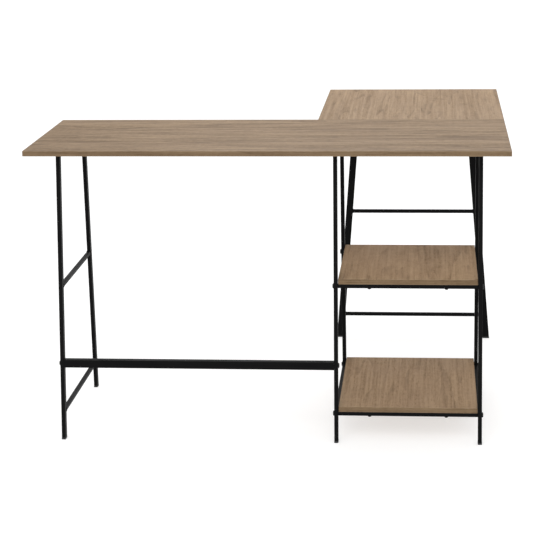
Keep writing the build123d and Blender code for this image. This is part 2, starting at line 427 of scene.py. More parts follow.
@dataclass(frozen=True)
class OakBand(OakPrint):
    """The same print on an edge band, along its run, painted a little lighter on its arrises: rubbing,
    and a painted highlight where the rounded arris catches the light.
    """

    # wear and a painted highlight: a lighter colour laid in patches on the band's arrises
    rubbed_and_highlit: Colour = shade(176, 156, 132)
    rubbed_highlight_patches: Layer = Layer(40, 400, 2, 0.5)
    rubbed_highlight_share: Span = (0.3, 0.7, 0.2, 0.7)

    def material(self) -> bpy.types.Material:
        """Builds the band's material, on the band's own UV map, which is in metres.

        Returns:
            The material.
        """
        recipe = Recipe(self.name)
        along = recipe.node("ShaderNodeUVMap", uv_map="run").outputs["UV"]
        made = self.printed(recipe, recipe.place(along, shift=self.shift))
        base = recipe.surface.inputs["Base Color"]
        printed = base.links[0].from_socket
        # lays the lighter colour on the arrises: wear and a painted highlight
        arris = recipe.node("ShaderNodeAttribute", attribute_name="arris").outputs["Fac"]
        patchy = recipe.spread(recipe.stretched(along, self.rubbed_highlight_patches), *self.rubbed_highlight_share)
        recipe.feed(base, recipe.blend(recipe.maths("MULTIPLY", arris, patchy), printed, self.rubbed_and_highlit))
        return made


@dataclass(frozen=True)
class PowderCoat:
    """Black powder coat: a fine orange-peel skin, a little thinner and smoother on the corners.

    clouds, peel, grit and scuffs are lumps to a metre.
    """

    name: str = "powder_coat"
    body: Colour = shade(6, 6, 7)
    dusty: Colour = shade(11, 11, 11)
    corner: Colour = shade(46, 45, 44)
    sheen: float = 0.05
    corner_reach: float = 1.2 * MM
    clouds: float = 9.0
    peel: float = 900.0
    grit: float = 3600.0
    scuffs: float = 60.0
    peel_depth: float = 0.05 * MM
    grit_depth: float = 0.015 * MM
    dust: Span = (0.35, 0.7)
    scuffed: Span = (0.5, 0.7, 0.1, 0.6)
    rough: Span = (0.3, 0.7, 0.44, 0.52)
    grit_dullness: float = 0.08
    corner_dullness: float = -0.1
    bump_share: float = 0.5

    def material(self) -> bpy.types.Material:
        """Builds the coat's material.

        Returns:
            The material.
        """
        recipe = Recipe(self.name)
        place = recipe.object_place()
        cloud = recipe.noise(place, self.clouds, 3.0, 0.55)
        peel = recipe.noise(place, self.peel)
        grit = recipe.noise(place, self.grit, 1.0)
        colour = recipe.blend(recipe.spread(cloud, *self.dust), self.body, self.dusty)
        scuffed = recipe.spread(recipe.noise(place, self.scuffs, 3.0, 0.6), *self.scuffed)
        corner = recipe.maths("MULTIPLY", recipe.arris(self.corner_reach), scuffed)
        colour = recipe.blend(corner, colour, self.corner)
        gritty = recipe.maths("MULTIPLY", grit, self.grit_dullness)
        rough = recipe.maths("ADD", recipe.spread(cloud, *self.rough), gritty)
        rough = recipe.maths("ADD", rough, recipe.maths("MULTIPLY", corner, self.corner_dullness))
        skin = recipe.bump(peel, self.peel_depth, self.bump_share)
        return recipe.finish(
            {
                "Base Color": colour,
                "Roughness": rough,
                "Specular IOR Level": self.sheen,
                "Normal": recipe.bump(grit, self.grit_depth, self.bump_share, skin),
            }
        )


@dataclass(frozen=True)
class MouldedPlastic:
    """Black moulded plastic with a fine spark texture, scuffed grey near the floor.

    scratches, mottle and spark are lumps to a metre.
    """

    name: str = "moulded_plastic"
    body: Colour = shade(20, 20, 21)
    scuff: Colour = shade(62, 60, 58)
    scuff_height: float = 3.5 * MM
    scratches: Triple = (700, 700, 120)
    mottle: float = 220.0
    spark: float = 2600.0
    spark_depth: float = 0.03 * MM
    sheen: float = 0.3
    scratched: Span = (0.5, 0.68)
    mottled: Span = (0.3, 0.7, 0.0, 0.12)
    rough: Span = (0.3, 0.7, 0.5, 0.6)
    scuff_dullness: float = 0.2
    bump_share: float = 0.5

    def material(self) -> bpy.types.Material:
        """Builds the plastic's material.

        Returns:
            The material.
        """
        recipe = Recipe(self.name)
        place = recipe.object_place()
        height = recipe.node("ShaderNodeSeparateXYZ", {0: place}).outputs["Z"]
        low = recipe.spread(height, self.scuff_height, 0.0)
        scratches = recipe.noise(recipe.place(place, self.scratches), 1.0, 3.0, 0.65)
        scuffed = recipe.maths("MULTIPLY", low, recipe.spread(scratches, *self.scratched))
        mottled = recipe.spread(recipe.noise(place, self.mottle), *self.mottled)
        colour = recipe.blend(recipe.maths("ADD", scuffed, mottled), self.body, self.scuff)
        spark = recipe.noise(place, self.spark, 2.0, 0.55)
        worn = recipe.maths("MULTIPLY", scuffed, self.scuff_dullness)
        return recipe.finish(
            {
                "Base Color": colour,
                "Roughness": recipe.maths("ADD", recipe.spread(spark, *self.rough), worn),
                "Specular IOR Level": self.sheen,
                "Normal": recipe.bump(spark, self.spark_depth, self.bump_share),
            }
        )


@dataclass(frozen=True)
class PlainSteel:
    """Bare or oxidised steel: a metal with turning marks and bright corners.

    gloss is the roughness of its smoothest places. clouds and marks are lumps to a metre.
    """

    name: str
    body: Colour
    bright: Colour
    metal: float
    gloss: float
    corner_reach: float = 0.5 * MM
    clouds: float = 320.0
    marks: float = 2400.0
    mark_depth: float = 0.012 * MM
    sheen: float = 0.3
    worn: Span = (0.35, 0.65, 0.2, 0.8)
    tint: Span = (0.3, 0.75, 0.0, 0.3)
    marked: Span = (0.3, 0.7)
    mark_dullness: float = 0.12
    bump_share: float = 0.4

    def material(self) -> bpy.types.Material:
        """Builds the steel's material.

        Returns:
            The material.
        """
        recipe = Recipe(self.name)
        place = recipe.object_place()
        cloud = recipe.noise(place, self.clouds, 3.0, 0.6)
        marks = recipe.noise(place, self.marks, 2.0, 0.6)
        worn = recipe.spread(cloud, *self.worn)
        corner = recipe.maths("MULTIPLY", recipe.arris(self.corner_reach), worn)
        bright = recipe.maths("MAXIMUM", corner, recipe.spread(cloud, *self.tint))
        dullest = self.gloss + self.mark_dullness
        return recipe.finish(
            {
                "Base Color": recipe.blend(bright, self.body, self.bright),
                "Metallic": self.metal,
                "Roughness": recipe.spread(marks, *self.marked, self.gloss, dullest),
                "Specular IOR Level": self.sheen,
                "Normal": recipe.bump(marks, self.mark_depth, self.bump_share),
            }
        )


@dataclass(frozen=True)
class StudioFloor:
    """Pale matt floor, lit a little from below as a light table is, with a barely mottled sheen."""

    name: str = "studio_floor"
    paint: Colour = (0.5, 0.5, 0.5, 1.0)
    glow: float = 0.56
    white: Colour = (1.0, 1.0, 1.0, 1.0)
    mottle: float = 3.0
    rough: Span = (0.3, 0.7, 0.82, 0.88)
    sheen: float = 0.1

    def material(self) -> bpy.types.Material:
        """Builds the floor's material.

        Returns:
            The material.
        """
        recipe = Recipe(self.name)
        mottle = recipe.noise(recipe.object_place(), self.mottle)
        return recipe.finish(
            {
                "Base Color": self.paint,
                "Roughness": recipe.spread(mottle, *self.rough),
                "Specular IOR Level": self.sheen,
                "Emission Color": self.white,
                "Emission Strength": self.glow,
            }
        )


@dataclass(frozen=True)
class Finishes:
    """The finishes that the metal and plastic parts share."""

    coat: bpy.types.Material = field(default_factory=PowderCoat().material)
    plastic: bpy.types.Material = field(default_factory=MouldedPlastic().material)
    steel: bpy.types.Material = field(
        default_factory=PlainSteel(
            "blackened_steel_finish", shade(18, 18, 19), shade(70, 68, 66), 0.6, 0.42
        ).material
    )
    zinc: bpy.types.Material = field(
        default_factory=PlainSteel(
            "zinc_finish", shade(150, 152, 156), shade(205, 206, 208), 1.0, 0.32
        ).material
    )


# ---------------------------------------------------------------- surfaces on grids
def rounded_loop(
    widths: np.ndarray | float, depths: np.ndarray | float, radii: np.ndarray | float, per_corner: int
) -> tuple[np.ndarray, np.ndarray]:
    """Loops round rectangles with rounded corners, one row for each size given.

    A corner's points are its centre, which is a radius in from both sides, plus the radius times
    (cos a, sin a), with a going through the corner's quarter turn.

    Args:
        widths: full sizes along the first axis.
        depths: full sizes along the second axis.
        radii: corner radii.
        per_corner: points to a corner.

    Returns:
        Points (rows, 4 * per_corner, 2) and outward normals (4 * per_corner, 2).
    """
    widths, depths, radii = np.broadcast_arrays(*(np.atleast_1d(v) for v in (widths, depths, radii)))
    quarter = np.linspace(0, math.pi / 2, per_corner)
    angles = (quarter + np.arange(4)[:, None] * math.pi / 2).ravel()
    normals = np.stack([np.cos(angles), np.sin(angles)], axis=-1)
    signs = np.repeat(np.array([[1, 1], [-1, 1], [-1, -1], [1, -1]]), per_corner, axis=0)
    reach = np.stack([widths / 2 - radii, depths / 2 - radii], axis=-1)
    return signs * reach[:, None, :] + radii[:, None, None] * normals, normals


def evenly_spaced(loop: np.ndarray, count: int) -> np.ndarray:
    """Points at equal steps along a closed loop, by linear interpolation over its run length.

    Args:
        loop: the loop's corners (n, k).
        count: how many points to give.

    Returns:
        The points (count, k).
    """
    closed = np.vstack([loop, loop[:1]])
    runs = np.concatenate([[0], np.cumsum(np.linalg.norm(np.diff(closed, axis=0), axis=1))])
    wanted = np.linspace(0, runs[-1], count, endpoint=False)
    return np.stack([np.interp(wanted, runs, closed[:, k]) for k in range(loop.shape[1])], axis=-1)


@dataclass
class Patch:
    """A surface on a grid of two parameters, closed round its columns.

    points is (rows, columns, 3). A patch that isn't closed round its rows too gets a fan over its
    first and its last row, so that it is always a closed shell. run is (rows + 1, columns + 1, 2)
    UV places in metres, and arris is (rows, columns), from 0 to 1.
    """

    points: np.ndarray
    closed_rows: bool = False
    run: np.ndarray | None = None
    arris: np.ndarray | None = None

    def quads(self) -> tuple[np.ndarray, np.ndarray]:
        """Corner numbers of the grid's quads.

        Returns:
            Corners by vertex (n, 4), and the same corners' row and column before wrapping (n, 4, 2).
        """
        rows, columns = self.points.shape[:2]
        row, column = np.meshgrid(
            np.arange(rows if self.closed_rows else rows - 1), np.arange(columns), indexing="ij"
        )
        steps = np.array([[0, 0], [0, 1], [1, 1], [1, 0]])
        places = np.stack([row, column], axis=-1).reshape(-1, 1, 2) + steps
        return (places[..., 0] % rows) * columns + places[..., 1] % columns, places

    def fans(self) -> tuple[np.ndarray, np.ndarray]:
        """The points in the middle of the open ends, and the triangles that close them.

        Returns:
            Points (m, 3), numbered after the grid's, and triangles (n, 3).
        """
        rows, columns = self.points.shape[:2]
        if self.closed_rows:
            return np.empty((0, 3)), np.empty((0, 3), int)
        ring = np.arange(columns)
        after = (ring + 1) % columns
        last = (rows - 1) * columns
        first_fan = np.stack([np.full(columns, rows * columns), after, ring], axis=-1)
        last_fan = np.stack([np.full(columns, rows * columns + 1), last + ring, last + after], axis=-1)
        middles = np.stack([self.points[0].mean(axis=0), self.points[-1].mean(axis=0)])
        return middles, np.concatenate([first_fan, last_fan])

    def turned_out(self, points: np.ndarray, quads: np.ndarray, fans: np.ndarray) -> bool:
        """Whether the shell's faces point outwards, from the sign of the volume that they enclose.

        Args:
            points: every point (n, 3).
            quads: corner numbers (n, 4).
            fans: corner numbers (n, 3).

        Returns:
            True if the volume is positive.
        """
        middle = points.mean(axis=0)
        corners = np.concatenate([quads[:, [0, 1, 2]], quads[:, [0, 2, 3]], fans])
        a, b, c = (points[corners[:, k]] - middle for k in range(3))
        return float(np.einsum("ij,ij->", a, np.cross(b, c))) > 0


@dataclass
class Piece:
    """A new piece of the desk, gathered from patches into one mesh."""

    name: str
    slot: Slot
    replaces: tuple[str, ...] = ()
    crease: float = math.radians(35)
    patches: list[Patch] = field(default_factory=list)

    def build(self, material: bpy.types.Material) -> None:
        """Makes the mesh and its object, rides it on the desk and reports it.

        Args:
            material: the piece's finish.
        """
        points, corners, sizes, uvs, marks = [], [], [], [], []
        start = 0
        for patch in self.patches:
            middles, fans = patch.fans()
            quads, places = patch.quads()
            own = np.concatenate([patch.points.reshape(-1, 3), middles])
            if not patch.turned_out(own, quads, fans):
                quads, places, fans = quads[:, ::-1], places[:, ::-1], fans[:, ::-1]
            points.append(own)
            corners += [(quads + start).ravel(), (fans + start).ravel()]
            sizes += [np.full(len(quads), 4), np.full(len(fans), 3)]
            if patch.run is not None:
                run = patch.run[places[..., 0], places[..., 1]]
                uvs += [run.reshape(-1, 2), np.zeros((fans.size, 2))]
                marks.append(patch.arris.ravel())
            start += len(own)
        made = self.object_of(np.concatenate(points), np.concatenate(corners), np.concatenate(sizes))
        if uvs:
            made.data.uv_layers.new(name="run").data.foreach_set("uv", np.concatenate(uvs).ravel())
            arris = made.data.attributes.new("arris", "FLOAT", "POINT")
            arris.data.foreach_set("value", np.concatenate(marks))
        made.data.materials.append(material)
        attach(made, BODY)
        if self.replaces:
            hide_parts(*self.replaces)
        log.info("%s: %d faces, %s", self.name, len(made.data.polygons), material.name)

    def object_of(self, points: np.ndarray, corners: np.ndarray, sizes: np.ndarray) -> bpy.types.Object:
        """Puts whole arrays into a new mesh, smooth but for its creases.

        Args:
            points: every point (n, 3).
            corners: vertex number of every face corner, face by face.
            sizes: how many corners each face has.

        Returns:
            The object, linked to the scene.
        """
        mesh = bpy.data.meshes.new(self.name)
        mesh.vertices.add(len(points))
        mesh.vertices.foreach_set("co", points.ravel())
        mesh.loops.add(len(corners))
        mesh.loops.foreach_set("vertex_index", corners)
        mesh.polygons.add(len(sizes))
        mesh.polygons.foreach_set("loop_start", np.concatenate([[0], np.cumsum(sizes)[:-1]]))
        mesh.update(calc_edges=True)
        mesh.shade_smooth()
        mesh.set_sharp_from_angle(angle=self.crease)
        made = bpy.data.objects.new(self.name, mesh)
        bpy.context.scene.collection.objects.link(made)
        return made


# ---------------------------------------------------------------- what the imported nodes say
def corners_of(node: str) -> tuple[np.ndarray, np.ndarray]:
    """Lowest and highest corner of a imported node, as arrays."""
    low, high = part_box(node)
    return np.array(low), np.array(high)


def dress(material: bpy.types.Material, *nodes: str) -> None:
    """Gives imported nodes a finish.

    Args:
        material: the finish.
        nodes: the nodes' names.
    """
    for name in nodes:
        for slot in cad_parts[name].material_slots:
            slot.material = material
        log.info("%s: carried over, %s", name, material.name)


@dataclass(frozen=True)
class LegLine:
    """Where a leg's tube starts and ends: the middles of its lowest and its highest section.

    section is its level section's sides along X and Y.
    """

    foot: np.ndarray
    head: np.ndarray
    section: np.ndarray

    @classmethod
    def of(cls, node: str) -> LegLine:
        """Reads a leg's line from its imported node.

        Args:
            node: the leg's name.

        Returns:
            Its line.
        """
        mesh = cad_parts[node].data
        points = np.empty(len(mesh.vertices) * 3)
        mesh.vertices.foreach_get("co", points)
        points = points.reshape(-1, 3)
        height = points[:, 2]
        near = 0.01 * MM
        ends = [points[np.abs(height - level) < near] for level in (height.min(), height.max())]
        middles = [(end.min(axis=0) + end.max(axis=0)) / 2 for end in ends]
        return cls(*middles, np.ptp(ends[0], axis=0)[:2])

    def slope(self) -> np.ndarray:
        """How far the line moves for each metre of height."""
        run = self.head - self.foot
        return run / run[2]

    def at(self, height: float) -> np.ndarray:
        """The line's point at a height."""
        return self.foot + self.slope() * (height - self.foot[2])


# ---------------------------------------------------------------- boards
@dataclass(frozen=True)
class EdgedBoard:
    """A board in oak print with an edge band that runs right round it.

    shift moves the print over the board, and contrast and lift are how strong it is and how much light
    is painted into it: a lift above 1 is painted light on a board that the lamps leave darker. The
    band's print has its own two, and its lift below 1 is painted shade on the band's upright faces.
    rubbed is the share of the arris's radius that is rubbed and carries a painted highlight.
    """

    name: str
    grain: Grain
    shift: Triple
    contrast: float
    painted_light_lift: float
    band_contrast: float = 1.1
    # painted shade: the band's print is darkened, as its upright faces get less light than the tops
    band_painted_shade: float = 0.62
    corner_radius: float = 1.6 * MM
    arris_radius: float = 0.42 * MM
    rubbed_and_highlit: float = 0.9
    per_corner: int = 7

    def band(self) -> Patch:
        """The band: its rounded section carried round the board.

        A point is the board's outline moved in along its normal by the section's depth, at the
        section's height. The arris share is high on the section's two outer corners, where the band
        is painted lighter: wear and a painted highlight.

        Returns:
            The band's surface.
        """
        low, high = corners_of(self.name + "_edge_bands")
        core_low, _ = corners_of(self.name)
        thick = core_low[0] - low[0]
        wide, deep, tall = high - low
        (section,), _ = rounded_loop(thick, tall, self.arris_radius, self.per_corner)
        (outline,), normals = rounded_loop(wide, deep, self.corner_radius, self.per_corner)
        middle = (low + high) / 2
        inward = thick / 2 - section[:, 0]
        flat = middle[:2] + outline - inward[:, None, None] * normals
        level = np.broadcast_to((middle[2] + section[:, 1])[:, None, None], (*flat.shape[:2], 1))
        # the two outer arrises, which get the band's lighter colour: wear and a painted highlight
        by_face = np.abs(section[:, 1]) > tall / 2 - self.arris_radius * self.rubbed_and_highlit
        outer = section[:, 0] > 0
        arris = np.broadcast_to((by_face & outer)[:, None].astype(float), flat.shape[:2])
        points = np.concatenate([flat, level], axis=-1)
        return Patch(points, True, self.run_map(section, outline), arris)

    def run_map(self, section: np.ndarray, outline: np.ndarray) -> np.ndarray:
        """UV places in metres: run round the board, and height on the section.

        Args:
            section: the section's points (rows, 2).
            outline: the outline's points (columns, 2).

        Returns:
            Places (rows + 1, columns + 1, 2).
        """
        steps = np.linalg.norm(np.roll(outline, -1, axis=0) - outline, axis=1)
        runs = np.concatenate([[0], np.cumsum(steps)])
        heights = np.concatenate([section[:, 1], section[:1, 1]])
        return np.stack(np.meshgrid(runs, heights), axis=-1)

    def build(self) -> None:
        """Makes the band and dresses the board."""
        oak = OakPrint(self.name + "_oak", self.grain, self.shift, self.contrast, self.painted_light_lift)
        dress(oak.material(), self.name)
        edge = OakBand(
            self.name + "_band_oak", self.grain, self.shift, self.band_contrast, self.band_painted_shade
        )
        band = Piece(self.name + "_band", Slot.EDGE_BAND, (self.name + "_edge_bands",))
        band.patches.append(self.band())
        band.build(edge.material())


# ---------------------------------------------------------------- moulded stoppers
@dataclass(frozen=True)
class Stopper:
    """A moulded stopper for an open tube: a lip with soft edges, and a plug inside the tube.

    The lip stands out past the tube's sides by lip, its edges are lip_edge round and its face bulges
    by lip_crown. The plug lies plug_inset inside the tube's sides, and its end is bevelled.
    """

    lip: float
    lip_edge: float
    lip_crown: float
    plug_length: float
    plug_inset: float
    shoulder: float = 0.1 * MM
    bevel_length: float = 0.6 * MM
    bevel_inset: float = 0.8 * MM
    corner_radius: float = 1.5 * MM
    least_radius: float = 0.3 * MM
    room_share: float = 0.98
    crown_rows: Triple = (0.25, 0.5, 0.8)
    edge_rows: int = 5
    per_corner: int = 6

    def patch(
        self,
        base: np.ndarray,
        axis: np.ndarray,
        across: np.ndarray,
        along: np.ndarray,
        size: np.ndarray,
        height: float,
    ) -> Patch:
        """The stopper's surface: rounded rectangles stacked along an axis.

        Each row is a rounded rectangle smaller than the lip by an inset. Over the lip's two edges
        the inset follows a quarter circle, and past the lip it is the plug's.

        Args:
            base: middle of the lip's outer face.
            axis: step into the tube for each metre of height.
            across: unit vector of the section's first side.
            along: unit vector of its second side.
            size: the section's two sides.
            height: the lip's height.

        Returns:
            The surface.
        """
        turn = np.linspace(0, math.pi / 2, self.edge_rows)
        soft = self.lip_edge * (1 - np.sin(turn))
        climb = self.lip_edge * (1 - np.cos(turn))
        shares = np.array(self.crown_rows)
        half = size.min() / 2
        crown_heights = self.lip_crown * (1 - np.cos(shares * math.pi / 2))
        crown_insets = (half - self.lip_edge) * (1 - shares) + self.lip_edge
        plug_heights = height + np.array(
            [0, self.shoulder, self.plug_length, self.plug_length + self.bevel_length]
        )
        plug_insets = self.plug_inset + np.array([0, 0, 0, self.bevel_inset])
        heights = np.concatenate(
            [crown_heights, self.lip_crown + climb, (height - climb)[::-1], plug_heights]
        )
        insets = np.concatenate([crown_insets, soft, soft[::-1], plug_insets]) - self.lip
        radii = np.clip(self.corner_radius + self.lip - insets, self.least_radius, None)
        radii = np.minimum(radii, (half - insets) * self.room_share)
        loops, _ = rounded_loop(size[0] - 2 * insets, size[1] - 2 * insets, radii, self.per_corner)
        middles = base + heights[:, None, None] * axis
        return Patch(middles + loops[..., :1] * across + loops[..., 1:] * along)


FOOT = Stopper(0.4 * MM, 1.1 * MM, 0.25 * MM, 14 * MM, 1.7 * MM)
END_PLUG = Stopper(0.0, 0.6 * MM, 0.3 * MM, 12 * MM, 1.3 * MM)


# ---------------------------------------------------------------- welded frames
@dataclass(frozen=True)
class WeldBead:
    """A weld that runs round a joint, in overlapping ripples."""

    radius: float = 1.3 * MM
    ripple: float = 0.16
    pitch: float = 1.7 * MM
    fewest_ripples: int = 8
    unevenness: float = 0.10
    swings: int = 9
    corner_radius: float = 1.2 * MM
    per_corner: int = 6
    around: int = 10
    step: float = 0.28 * MM

    def patch(
        self, middle: np.ndarray, across: np.ndarray, along: np.ndarray, size: np.ndarray, seed: int
    ) -> Patch:
        """The bead: a circle carried round a rounded rectangle, with a radius that ripples.

        The radius is the bead's times 1 plus the ripple times a saw of the run over the pitch,
        and plus a slow random unevenness. The circle stands across the run.

        Args:
            middle: middle of the joint.
            across: unit vector of the joint's first side.
            along: unit vector of its second side.
            size: the joint's two sides.
            seed: seed of the unevenness.

        Returns:
            The surface.
        """
        (loop,), _ = rounded_loop(*size, self.corner_radius, self.per_corner)
        perimeter = 2 * sum(size)
        count = round(perimeter / self.step)
        loop = evenly_spaced(loop, count)
        line = middle + loop[:, :1] * across + loop[:, 1:] * along
        tangent = np.roll(line, -1, axis=0) - np.roll(line, 1, axis=0)
        tangent /= np.linalg.norm(tangent, axis=1, keepdims=True)
        normal = np.cross(across, along)
        side = np.cross(tangent, normal)
        run = np.arange(count) / count
        ripples = max(round(perimeter / self.pitch), self.fewest_ripples)
        saw = (run * ripples) % 1
        slow = np.random.default_rng(seed).uniform(-1, 1, self.swings)
        uneven = np.interp(run, np.linspace(0, 1, self.swings + 1), np.append(slow, slow[0]))
        radius = self.radius * (1 + self.ripple * (saw - 0.5) + self.unevenness * uneven)
        turn = np.arange(self.around) / self.around * 2 * math.pi
        wheel = np.cos(turn)[:, None, None] * side + np.sin(turn)[:, None, None] * normal
        return Patch(line + radius[:, None] * wheel, True)


@dataclass(frozen=True)
class EndFrame:
    """A welded end frame: two leaning legs, their crossbars and a flat bar under the top.

    levels names its crossbars, seed starts its welds' unevenness, and plug_flange is how far the
    plugs' lips stand out of the top bar's ends.
    """

    name: str
    levels: tuple[str, ...]
    seed: int
    bead: WeldBead = WeldBead()
    plug_flange: float = 1.5 * MM
    ends: tuple[str, ...] = ("outer", "inner")

    def run_axis(self) -> int:
        """Number of the axis that the frame's top bar runs along."""
        low, high = corners_of(self.name + "_top_bar")
        return int(np.argmax(high - low))

    def directions(self) -> tuple[np.ndarray, np.ndarray]:
        """Unit vectors along the frame's run and through its thickness."""
        axis = self.run_axis()
        return np.eye(3)[axis], np.eye(3)[1 - axis]

    def legs(self) -> list[LegLine]:
        """The lines of the two legs."""
        return [LegLine.of(f"{self.name}_{end}_leg") for end in self.ends]

    def leg_size(self, leg: LegLine) -> np.ndarray:
        """A leg's level section: its side along the frame's run, and its side through it."""
        axis = self.run_axis()
        return leg.section[[axis, 1 - axis]]

    def welds(self) -> list[Patch]:
        """A bead round every joint of the frame.

        A leg's head has a level bead under the top bar. A crossbar's end has a bead in the plane of
        the leg's inner face, which is half a leg's width from its line towards the other leg.

        Returns:
            The beads' surfaces.
        """
        run, through = self.directions()
        axis = self.run_axis()
        first_bar_seed = self.seed + 10
        beads = []
        for number, leg in enumerate(self.legs()):
            size = self.leg_size(leg)
            beads.append(self.bead.patch(leg.head, run, through, size, self.seed + number))
            slope = leg.slope() / np.linalg.norm(leg.slope())
            inward = -np.sign(leg.foot[axis] - leg.head[axis])
            for level in self.levels:
                low, high = corners_of(f"{self.name}_{level}_crossbar")
                middle = leg.at((low[2] + high[2]) / 2) + run * inward * size[0] / 2
                bar = np.array([(high - low)[1 - axis], (high - low)[2] / slope[2]])
                beads.append(self.bead.patch(middle, through, slope, bar, first_bar_seed + len(beads)))
        return beads

    def feet(self, plastic: bpy.types.Material) -> None:
        """A moulded foot under each leg.

        Args:
            plastic: the feet's finish.
        """
        run, through = self.directions()
        for end, leg in zip(self.ends, self.legs()):
            name = f"{self.name}_{end}_foot"
            foot = Piece(name + "_moulded", Slot.PLASTIC, (name,))
            foot.patches.append(
                FOOT.patch(leg.at(0.0), leg.slope(), run, through, self.leg_size(leg), leg.foot[2])
            )
            foot.build(plastic)

    def end_plugs(self) -> list[Patch]:
        """The plugs in the top bar's two ends.

        Returns:
            Their surfaces.
        """
        run, through = self.directions()
        axis = self.run_axis()
        low, high = corners_of(self.name + "_top_bar")
        size = np.array([(high - low)[1 - axis], (high - low)[2]])
        reach = (high - low)[axis] / 2 + self.plug_flange
        up = np.eye(3)[2]
        plugs = []
        for way in (-1, 1):
            face = (low + high) / 2 + run * way * reach
            plugs.append(END_PLUG.patch(face, -way * run, through, up, size, self.plug_flange))
        return plugs

    def build(self, finishes: Finishes) -> None:
        """Dresses the tubes and makes the welds and feet.

        Args:
            finishes: the shared finishes.
        """
        tubes = [f"{self.name}_{end}_leg" for end in self.ends]
        tubes += [f"{self.name}_{level}_crossbar" for level in self.levels]
        dress(finishes.coat, *tubes, self.name + "_top_bar")
        dress(finishes.steel, self.name + "_top_screws")
        welds = Piece(self.name + "_weld_beads", Slot.STEEL_TUBE, crease=math.radians(60))
        welds.patches += self.welds()
        welds.build(finishes.coat)
        self.feet(finishes.plastic)


# ---------------------------------------------------------------- bolted tubes
@dataclass(frozen=True)
class SocketBolt:
    """A domed socket bolt, head and shank in one turned surface.

    chamfer breaks the edges of its head and of its socket, whose rim is round but for rim_sides.
    """

    head_radius: float = 6.5 * MM
    head_height: float = 3.4 * MM
    dome: float = 2.7 * MM
    chamfer: float = 0.25 * MM
    socket_corner: float = 2.31 * MM
    socket_depth: float = 1.8 * MM
    rim_sides: float = 0.12
    socket_fillet: float = 0.1 * MM
    drill_point: float = 0.15 * MM
    neck: float = 0.2 * MM
    shank_radius: float = 3.0 * MM
    thread_length: float = 14 * MM
    thread_point: float = 0.8 * MM
    dome_rows: int = 9
    around: int = 48

    def profile(self, grip: float) -> np.ndarray:
        """The turned profile, from the socket's middle out over the dome and down the shank.

        Args:
            grip: how thick the metal under the head is.

        Returns:
            Rows of radius, height over the seat and six-sidedness.
        """
        turn = np.linspace(0, math.pi / 2, self.dome_rows)
        top = self.head_height
        floor = top - self.socket_depth
        dome_start = self.head_radius - self.dome
        dome_radii = dome_start + self.dome * np.sin(turn)
        dome_heights = top - self.dome * (1 - np.cos(turn))
        socket = self.socket_corner
        shank = self.shank_radius
        length = grip + self.thread_length
        return np.array(
            [
                (0.4 * socket, floor - self.drill_point, 1),
                (0.96 * socket, floor, 1),
                (socket, floor + self.socket_fillet, 1),
                (socket, top - self.chamfer, 1),
                (socket + self.chamfer, top, self.rim_sides),
                (0.96 * dome_start, top, 0),
                *((radius, height, 0) for radius, height in zip(dome_radii, dome_heights)),
                (self.head_radius, self.chamfer, 0),
                (self.head_radius - self.chamfer, 0, 0),
                (1.05 * shank, 0, 0),
                (shank, -self.neck, 0),
                (shank, self.thread_point - length, 0),
                (0.7 * shank, -length, 0),
            ]
        )

    def patch(self, seat: np.ndarray, outward: np.ndarray, grip: float) -> Patch:
        """The bolt: a profile turned about its axis, six-sided inside the socket.

        A row's radius is its own times 1 less its six-sidedness times the share by which a hexagon
        falls inside its circle at that angle, 1 - cos 30 / cos (a mod 60 - 30).

        Args:
            seat: where the head sits.
            outward: unit vector from the seat to the head's top.
            grip: how thick the metal under the head is.

        Returns:
            The surface.
        """
        radius, height, six_sided = self.profile(grip).T
        angle = np.arange(self.around) / self.around * 2 * math.pi
        falls_in = 1 - math.cos(math.pi / 6) / np.cos(angle % (math.pi / 3) - math.pi / 6)
        reach = radius[:, None] * (1 - six_sided[:, None] * falls_in)
        first = np.cross(outward, np.array([0.0, 1.0, 0.0]))
        second = np.cross(outward, first)
        wheel = np.cos(angle)[:, None] * first + np.sin(angle)[:, None] * second
        return Patch(seat + height[:, None, None] * outward + reach[..., None] * wheel)


@dataclass(frozen=True)
class BoltedTube:
    """A square tube between two legs, with a bolt through each leg into its end."""

    name: str
    bolt: SocketBolt = SocketBolt()

    def bolts(self, grip: float) -> list[Patch]:
        """The two bolts.

        Args:
            grip: the legs' thickness.

        Returns:
            Their surfaces.
        """
        low, high = corners_of(self.name)
        middle = (low + high) / 2
        along = np.array([1.0, 0.0, 0.0])
        reach = (high[0] - low[0]) / 2 + grip
        return [self.bolt.patch(middle + way * reach * along, way * along, grip) for way in (-1, 1)]


@dataclass(frozen=True)
class Stretcher:
    """The square tube that ties the left frame to the shelf unit."""

    leg: str = "left_frame_outer_leg"

    def grip(self) -> float:
        """Thickness of the legs along X."""
        low, high = corners_of(self.leg)
        return float(high[0] - low[0])

    def build(self, finishes: Finishes) -> None:
        """Dresses the tube and makes its bolts.

        Args:
            finishes: the shared finishes.
        """
        dress(finishes.coat, "stretcher")
        dress(finishes.zinc, "stretcher_threaded_inserts")
        bolts = Piece("stretcher_socket_bolts", Slot.FASTENER, ("stretcher_bolts",))
        bolts.patches += BoltedTube("stretcher").bolts(self.grip())
        bolts.build(finishes.steel)


@dataclass(frozen=True)
class Shelf:
    """A shelf on two square rails that are bolted between the legs.

    shift, contrast and lift are its print's, as a board's are: its lift above 1 is painted light,
    standing in for the light that the main top above keeps off the shelf.
    """

    name: str
    shift: Triple
    painted_light_lift: float
    contrast: float = 0.85

    def build(self, finishes: Finishes, grip: float) -> None:
        """Makes the board and the rails' bolts, and dresses what is carried over.

        Args:
            finishes: the shared finishes.
            grip: the legs' thickness.
        """
        EdgedBoard(self.name, Grain.ALONG_RETURN, self.shift, self.contrast, self.painted_light_lift).build()
        rails = [f"{self.name}_{side}_rail" for side in ("outer", "inner")]
        dress(finishes.coat, *rails)
        dress(finishes.steel, self.name + "_screws")
        dress(finishes.zinc, self.name + "_rail_inserts")
        bolts = Piece(self.name + "_socket_bolts", Slot.FASTENER, (self.name + "_rail_bolts",))
        for rail in rails:
            bolts.patches += BoltedTube(rail).bolts(grip)
        bolts.build(finishes.steel)


